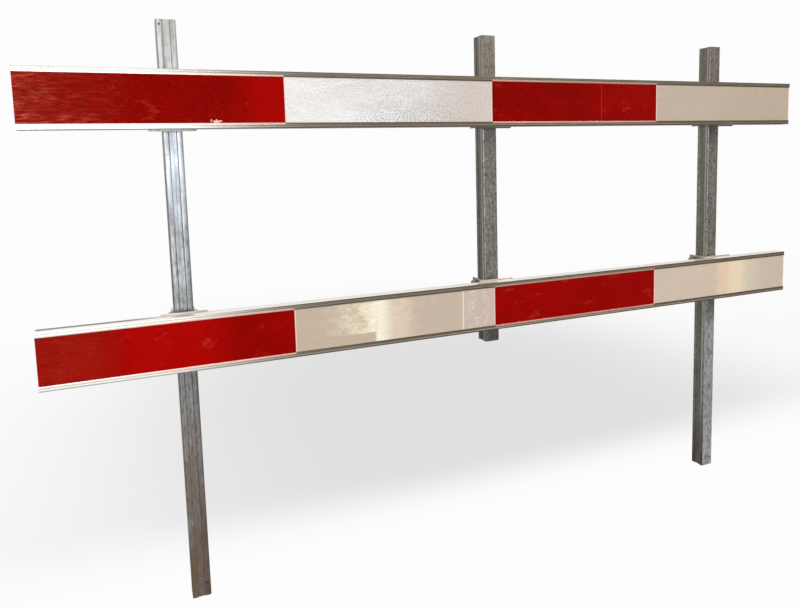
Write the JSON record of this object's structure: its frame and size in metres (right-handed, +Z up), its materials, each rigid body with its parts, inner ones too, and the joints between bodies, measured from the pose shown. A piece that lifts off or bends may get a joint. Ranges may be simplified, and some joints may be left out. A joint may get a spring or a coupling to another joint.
{
  "type": "traffic barrier",
  "caption": "Traffic barrier with two horizontal red and white reflective boards, clamped by height-adjustable brackets to square steel posts.",
  "frame": {"origin": "on the ground under the middle of the bounding box", "axes": "+X along the boards, to the right for someone facing the reflective side; the reflective faces look towards -Y; +Z up along the posts"},
  "size_m": [2, 0.111, 1.25],
  "materials": {
    "aluminium_board": "bare extruded aluminium, weathered, fine die lines along its length",
    "red_foil": "red retroreflective sheeting, slightly crinkled, scuffed",
    "white_foil": "white retroreflective sheeting, warm grey, slightly crinkled, scuffed",
    "galvanised_post": "hot-dip galvanised, mottled and streaked, brown towards the foot",
    "galvanised_bracket": "hot-dip galvanised sheet, dull",
    "zinc_fastener": "zinc plated, slightly dulled"
  },
  "bodies": {
    "posts": {"left_post": "galvanised_post", "middle_post": "galvanised_post", "right_post": "galvanised_post"},
    "upper_rail": {"upper_board": "aluminium_board", "upper_red_foil_1": "red_foil", "upper_white_foil_1": "white_foil", "upper_red_foil_2": "red_foil", "upper_white_foil_2": "white_foil", "upper_left_bracket": "galvanised_bracket", "upper_left_clamp_bolt_top": "zinc_fastener", "upper_left_clamp_nut_top": "zinc_fastener", "upper_left_clamp_bolt_bottom": "zinc_fastener", "upper_left_clamp_nut_bottom": "zinc_fastener", "upper_left_board_bolt_left": "zinc_fastener", "upper_left_board_bolt_right": "zinc_fastener", "upper_middle_bracket": "galvanised_bracket", "upper_middle_clamp_bolt_top": "zinc_fastener", "upper_middle_clamp_nut_top": "zinc_fastener", "upper_middle_clamp_bolt_bottom": "zinc_fastener", "upper_middle_clamp_nut_bottom": "zinc_fastener", "upper_middle_board_bolt_left": "zinc_fastener", "upper_middle_board_bolt_right": "zinc_fastener", "upper_right_bracket": "galvanised_bracket", "upper_right_clamp_bolt_top": "zinc_fastener", "upper_right_clamp_nut_top": "zinc_fastener", "upper_right_clamp_bolt_bottom": "zinc_fastener", "upper_right_clamp_nut_bottom": "zinc_fastener", "upper_right_board_bolt_left": "zinc_fastener", "upper_right_board_bolt_right": "zinc_fastener"},
    "lower_rail": {"lower_board": "aluminium_board", "lower_red_foil_1": "red_foil", "lower_white_foil_1": "white_foil", "lower_red_foil_2": "red_foil", "lower_white_foil_2": "white_foil", "lower_left_bracket": "galvanised_bracket", "lower_left_clamp_bolt_top": "zinc_fastener", "lower_left_clamp_nut_top": "zinc_fastener", "lower_left_clamp_bolt_bottom": "zinc_fastener", "lower_left_clamp_nut_bottom": "zinc_fastener", "lower_left_board_bolt_left": "zinc_fastener", "lower_left_board_bolt_right": "zinc_fastener", "lower_middle_bracket": "galvanised_bracket", "lower_middle_clamp_bolt_top": "zinc_fastener", "lower_middle_clamp_nut_top": "zinc_fastener", "lower_middle_clamp_bolt_bottom": "zinc_fastener", "lower_middle_clamp_nut_bottom": "zinc_fastener", "lower_middle_board_bolt_left": "zinc_fastener", "lower_middle_board_bolt_right": "zinc_fastener", "lower_right_bracket": "galvanised_bracket", "lower_right_clamp_bolt_top": "zinc_fastener", "lower_right_clamp_nut_top": "zinc_fastener", "lower_right_clamp_bolt_bottom": "zinc_fastener", "lower_right_clamp_nut_bottom": "zinc_fastener", "lower_right_board_bolt_left": "zinc_fastener", "lower_right_board_bolt_right": "zinc_fastener"}
  },
  "joints": [
    {"name": "upper_rail_height", "type": "slide", "parent": "posts", "child": "upper_rail", "axis": [0, 0, 1], "range_m": [-0.15, 0.06]},
    {"name": "lower_rail_height", "type": "slide", "parent": "posts", "child": "lower_rail", "axis": [0, 0, 1], "range_m": [-0.04, 0.15]}
  ]
}
